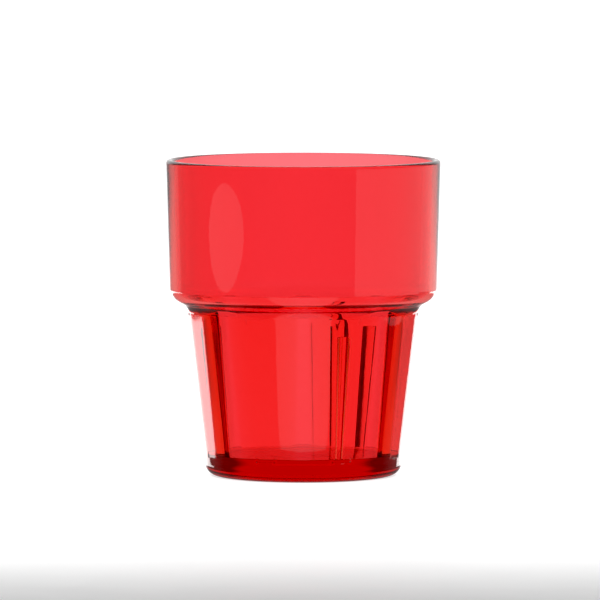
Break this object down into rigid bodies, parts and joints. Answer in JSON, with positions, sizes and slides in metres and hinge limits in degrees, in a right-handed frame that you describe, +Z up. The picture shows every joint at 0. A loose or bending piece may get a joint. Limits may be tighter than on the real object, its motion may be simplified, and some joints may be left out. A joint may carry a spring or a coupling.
{
  "type": "rocks glass",
  "caption": "Stackable plastic rocks glass: round collar over a soft shoulder, tapered body with flat inner panels, thick floor, stacking lugs inside.",
  "frame": {"origin": "centre of the underside, on the plane that the foot rests on", "axes": "+Z up along the middle of the glass; +X to the right and -Y towards the viewer in the picture"},
  "size_m": [0.0824, 0.0824, 0.0949],
  "materials": {
    "tumbler_plastic": "clear red, dyed through, polished"
  },
  "bodies": {
    "root": {"tumbler": "tumbler_plastic"}
  },
  "joints": []
}
